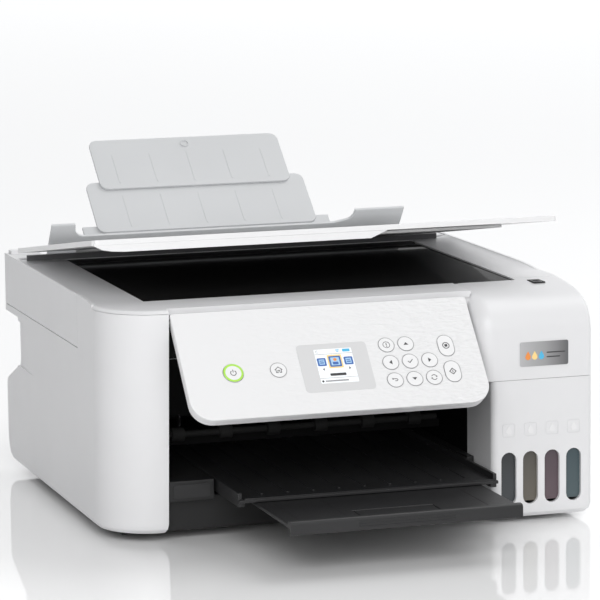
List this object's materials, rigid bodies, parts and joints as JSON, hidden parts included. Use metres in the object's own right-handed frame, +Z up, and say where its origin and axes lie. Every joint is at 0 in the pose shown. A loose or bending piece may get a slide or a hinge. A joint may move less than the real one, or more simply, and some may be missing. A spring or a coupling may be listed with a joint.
{
  "type": "inkjet printer",
  "caption": "Low white all-in-one inkjet printer with refillable ink tanks, tilting control panel, scanner under a raised lid, rear feeder and an extended front tray.",
  "frame": {"origin": "on the ground under the middle of the extended outline, centred on the body's width", "axes": "+X to the right of the front, +Y to the back, +Z up"},
  "size_m": [0.375, 0.5746, 0.2551],
  "materials": {
    "case_white": "fine matte moulded white",
    "soft_grey": "matte light grey",
    "charcoal": "matte dark grey",
    "black_plastic": "matte black",
    "bed_glass": "polished dark glass over a black interior",
    "rubber": "matte",
    "steel": "satin",
    "screen": "glossy colour display",
    "button_white": "satin white with thin grey ring",
    "mat_white": "soft white foam backing",
    "ink_black": "smoky grey translucent tank",
    "ink_yellow": "smoky olive translucent tank",
    "ink_magenta": "smoky plum translucent tank",
    "ink_cyan": "smoky teal translucent tank"
  },
  "bodies": {
    "lower_case": {"left_case": "case_white", "right_case": "case_white", "rear_case": "case_white", "bottom_pan": "charcoal", "foot_front_left": "rubber", "foot_rear_left": "rubber", "foot_rear_right": "rubber", "foot_front_right": "rubber", "left_side_cover": "case_white", "right_side_cover": "case_white", "tray_housing": "black_plastic", "paper_exit_cover": "black_plastic", "platen": "black_plastic", "carriage_rail": "steel", "power_inlet": "black_plastic", "usb_socket": "black_plastic", "ink_tank_1": "ink_black", "ink_tank_2": "ink_yellow", "ink_tank_3": "ink_magenta", "ink_tank_4": "ink_cyan", "feeder_deck": "case_white"},
    "tank_cap_1_body": {"tank_cap_1": "soft_grey"},
    "tank_cap_2_body": {"tank_cap_2": "soft_grey"},
    "tank_cap_3_body": {"tank_cap_3": "soft_grey"},
    "tank_cap_4_body": {"tank_cap_4": "soft_grey"},
    "feed_roller_body": {"feed_roller": "rubber"},
    "exit_roller_body": {"exit_roller": "rubber"},
    "print_carriage_body": {"print_carriage": "black_plastic"},
    "tray": {"output_tray": "charcoal"},
    "tray_tip": {"tray_extension": "charcoal"},
    "stop_flap": {"paper_stop": "charcoal"},
    "guard": {"feeder_guard": "soft_grey"},
    "guide_left": {"edge_guide_left": "soft_grey"},
    "guide_right": {"edge_guide_right": "soft_grey"},
    "support": {"paper_support": "soft_grey"},
    "support_lower": {"support_slide_lower": "soft_grey"},
    "support_upper": {"support_slide_upper": "soft_grey"},
    "scanner_unit": {"scanner_cover": "case_white", "scanner_floor": "charcoal", "scanner_glass": "bed_glass", "bed_rear_strip": "charcoal", "scan_rail": "steel"},
    "scan_head_body": {"scan_head": "black_plastic"},
    "lid": {"document_lid": "case_white", "lid_mat": "mat_white"},
    "panel": {"panel_front": "case_white", "panel_back": "case_white", "screen": "screen"},
    "button_power_key": {"button_power": "button_white"},
    "button_home_key": {"button_home": "button_white"},
    "button_help_key": {"button_help": "button_white"},
    "button_up_key": {"button_up": "button_white"},
    "button_left_key": {"button_left": "button_white"},
    "button_ok_key": {"button_ok": "button_white"},
    "button_right_key": {"button_right": "button_white"},
    "button_back_key": {"button_back": "button_white"},
    "button_down_key": {"button_down": "button_white"},
    "button_paper_key": {"button_paper": "button_white"},
    "button_stop_key": {"button_stop": "button_white"},
    "button_start_key": {"button_start": "button_white"}
  },
  "joints": [
    {"name": "tank_cap_1_hinge", "type": "hinge", "parent": "lower_case", "child": "tank_cap_1_body", "pos_m": [0.1193, -0.11634, 0.102], "axis": [-1, 0, 0], "range_deg": [0, 85]},
    {"name": "tank_cap_2_hinge", "type": "hinge", "parent": "lower_case", "child": "tank_cap_2_body", "pos_m": [0.1369, -0.11634, 0.102], "axis": [-1, 0, 0], "range_deg": [0, 85]},
    {"name": "tank_cap_3_hinge", "type": "hinge", "parent": "lower_case", "child": "tank_cap_3_body", "pos_m": [0.1545, -0.11634, 0.102], "axis": [-1, 0, 0], "range_deg": [0, 85]},
    {"name": "tank_cap_4_hinge", "type": "hinge", "parent": "lower_case", "child": "tank_cap_4_body", "pos_m": [0.1721, -0.11634, 0.102], "axis": [-1, 0, 0], "range_deg": [0, 85]},
    {"name": "feed_roller_spin", "type": "hinge", "parent": "lower_case", "child": "feed_roller_body", "pos_m": [0, 0.02766, 0.06], "axis": [1, 0, 0], "continuous": true},
    {"name": "exit_roller_spin", "type": "hinge", "parent": "lower_case", "child": "exit_roller_body", "pos_m": [0, -0.06434, 0.066], "axis": [1, 0, 0], "continuous": true},
    {"name": "print_carriage_slide", "type": "slide", "parent": "lower_case", "child": "print_carriage_body", "axis": [-1, 0, 0], "range_m": [0, 0.24]},
    {"name": "output_tray_slide", "type": "slide", "parent": "lower_case", "child": "tray", "axis": [0, 1, 0], "range_m": [0, 0.098]},
    {"name": "tray_extension_slide", "type": "slide", "parent": "tray", "child": "tray_tip", "axis": [0, 1, 0], "range_m": [0, 0.048]},
    {"name": "paper_stop_hinge", "type": "hinge", "parent": "tray_tip", "child": "stop_flap", "pos_m": [-0.003, -0.27434, 0.0379], "axis": [1, 0, 0], "range_deg": [0, 85]},
    {"name": "feeder_guard_hinge", "type": "hinge", "parent": "lower_case", "child": "guard", "pos_m": [-0.0046, 0.16166, 0.176], "axis": [-1, 0, 0], "range_deg": [0, 36]},
    {"name": "edge_guide_left_slide", "type": "slide", "parent": "lower_case", "child": "guide_left", "axis": [1, 0, 0], "range_m": [0, 0.04]},
    {"name": "edge_guide_right_slide", "type": "slide", "parent": "lower_case", "child": "guide_right", "axis": [-1, 0, 0], "range_m": [0, 0.04]},
    {"name": "paper_support_hinge", "type": "hinge", "parent": "lower_case", "child": "support", "pos_m": [-0.003, 0.17016, 0.152], "axis": [1, 0, 0], "range_deg": [0, 50]},
    {"name": "support_lower_slide", "type": "slide", "parent": "support", "child": "support_lower", "axis": [0, -0.7716, -0.6361], "range_m": [0, 0.044]},
    {"name": "support_upper_slide", "type": "slide", "parent": "support_lower", "child": "support_upper", "axis": [0, -0.7716, -0.6361], "range_m": [0, 0.044]},
    {"name": "scanner_unit_hinge", "type": "hinge", "parent": "lower_case", "child": "scanner_unit", "pos_m": [0, 0.13766, 0.174], "axis": [-1, 0, 0], "range_deg": [0, 20]},
    {"name": "scan_head_slide", "type": "slide", "parent": "scanner_unit", "child": "scan_head_body", "axis": [1, 0, 0], "range_m": [0, 0.262]},
    {"name": "document_lid_hinge", "type": "hinge", "parent": "scanner_unit", "child": "lid", "pos_m": [0, 0.13866, 0.1828], "axis": [-1, 0, 0], "range_deg": [-8.8, 50]},
    {"name": "control_panel_hinge", "type": "hinge", "parent": "scanner_unit", "child": "panel", "pos_m": [0, -0.15148, 0.16412], "axis": [-1, 0, 0], "range_deg": [-41.2, 20]},
    {"name": "button_power_press", "type": "slide", "parent": "panel", "child": "button_power_key", "axis": [0, 0.7524, -0.6587], "range_m": [0, 0.0008], "stiffness_N_per_m": 400},
    {"name": "button_home_press", "type": "slide", "parent": "panel", "child": "button_home_key", "axis": [0, 0.7524, -0.6587], "range_m": [0, 0.0008], "stiffness_N_per_m": 400},
    {"name": "button_help_press", "type": "slide", "parent": "panel", "child": "button_help_key", "axis": [0, 0.7524, -0.6587], "range_m": [0, 0.0008], "stiffness_N_per_m": 400},
    {"name": "button_up_press", "type": "slide", "parent": "panel", "child": "button_up_key", "axis": [0, 0.7524, -0.6587], "range_m": [0, 0.0008], "stiffness_N_per_m": 400},
    {"name": "button_left_press", "type": "slide", "parent": "panel", "child": "button_left_key", "axis": [0, 0.7524, -0.6587], "range_m": [0, 0.0008], "stiffness_N_per_m": 400},
    {"name": "button_ok_press", "type": "slide", "parent": "panel", "child": "button_ok_key", "axis": [0, 0.7524, -0.6587], "range_m": [0, 0.0008], "stiffness_N_per_m": 400},
    {"name": "button_right_press", "type": "slide", "parent": "panel", "child": "button_right_key", "axis": [0, 0.7524, -0.6587], "range_m": [0, 0.0008], "stiffness_N_per_m": 400},
    {"name": "button_back_press", "type": "slide", "parent": "panel", "child": "button_back_key", "axis": [0, 0.7524, -0.6587], "range_m": [0, 0.0008], "stiffness_N_per_m": 400},
    {"name": "button_down_press", "type": "slide", "parent": "panel", "child": "button_down_key", "axis": [0, 0.7524, -0.6587], "range_m": [0, 0.0008], "stiffness_N_per_m": 400},
    {"name": "button_paper_press", "type": "slide", "parent": "panel", "child": "button_paper_key", "axis": [0, 0.7524, -0.6587], "range_m": [0, 0.0008], "stiffness_N_per_m": 400},
    {"name": "button_stop_press", "type": "slide", "parent": "panel", "child": "button_stop_key", "axis": [0, 0.7524, -0.6587], "range_m": [0, 0.0008], "stiffness_N_per_m": 400},
    {"name": "button_start_press", "type": "slide", "parent": "panel", "child": "button_start_key", "axis": [0, 0.7524, -0.6587], "range_m": [0, 0.0008], "stiffness_N_per_m": 400}
  ],
  "couplings": [
    {"joint": "exit_roller_spin", "follows": "feed_roller_spin", "ratio": 1.1818},
    {"joint": "edge_guide_right_slide", "follows": "edge_guide_left_slide", "ratio": 1}
  ]
}
